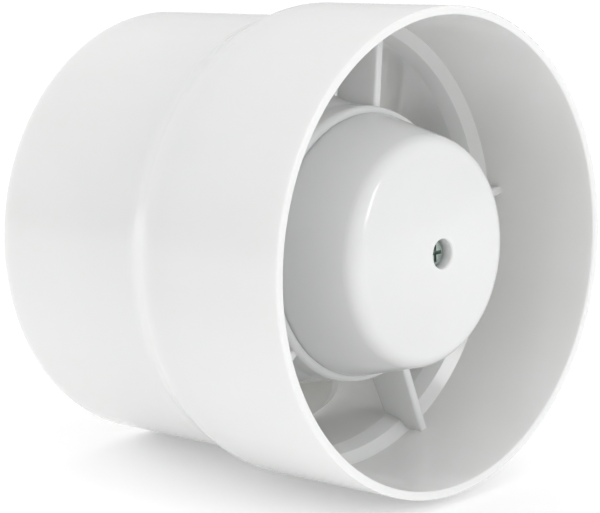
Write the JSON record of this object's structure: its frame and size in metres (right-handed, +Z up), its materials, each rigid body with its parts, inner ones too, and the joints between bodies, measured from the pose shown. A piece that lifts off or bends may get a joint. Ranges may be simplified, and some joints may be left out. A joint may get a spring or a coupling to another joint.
{
  "type": "in-duct axial extractor fan",
  "caption": "White in-line duct fan: a round shell with a stepped spigot, a domed motor pod on radial struts and an axial impeller that spins behind it.",
  "frame": {"origin": "centre of the outlet rim's plane, on the shaft axis", "axes": "+Y along the shaft from the outlet to the inlet spigot, +Z up, +X to the right seen from the outlet"},
  "size_m": [0.104, 0.0872, 0.104],
  "materials": {
    "shell_plastic": "glossy white moulded ABS",
    "impeller_plastic": "satin white moulded ABS",
    "zinc_steel": "zinc-plated steel",
    "ground_steel": "ground steel shaft",
    "spring_steel": "blackened spring steel",
    "lamination_steel": "stacked electrical steel sheets",
    "cast_bracket": "pressure die-cast aluminium",
    "bronze_bush": "oil-soaked sintered bronze",
    "brass_insert": "turned brass",
    "copper_bar": "bare copper bar",
    "enamelled_copper": "enamelled copper winding wire",
    "former_plastic": "natural nylon coil former",
    "terminal_plastic": "dark polyamide",
    "cutout_plastic": "moulded thermal cut-out",
    "lead_sleeve": "PVC-insulated motor leads",
    "fibre_washer": "vulcanised fibre",
    "grommet_rubber": "moulded rubber"
  },
  "bodies": {
    "housing": {"casing": "shell_plastic", "terminal_cover": "shell_plastic", "cover_screw": "zinc_steel", "cable_grommet": "grommet_rubber", "cable_clamp": "shell_plastic", "clamp_screws": "zinc_steel", "terminal_block": "terminal_plastic", "terminal_inserts": "brass_insert", "terminal_screws": "zinc_steel", "block_screw": "zinc_steel", "motor_bolts": "zinc_steel", "motor_nuts": "zinc_steel", "front_bracket": "cast_bracket", "rear_bracket": "cast_bracket", "front_bearing": "bronze_bush", "rear_bearing": "bronze_bush", "stator_stack": "lamination_steel", "shading_rings": "copper_bar", "coil_formers": "former_plastic", "windings": "enamelled_copper", "thermal_cutout": "cutout_plastic", "motor_leads": "lead_sleeve"},
    "rotor": {"shaft": "ground_steel", "rotor_core": "lamination_steel", "rotor_cage": "cast_bracket", "thrust_washers": "fibre_washer", "impeller": "impeller_plastic", "impeller_clip": "spring_steel"}
  },
  "joints": [
    {"name": "impeller_spin", "type": "hinge", "parent": "housing", "child": "rotor", "pos_m": [0, 0.06, 0], "axis": [0, 1, 0], "continuous": true}
  ]
}
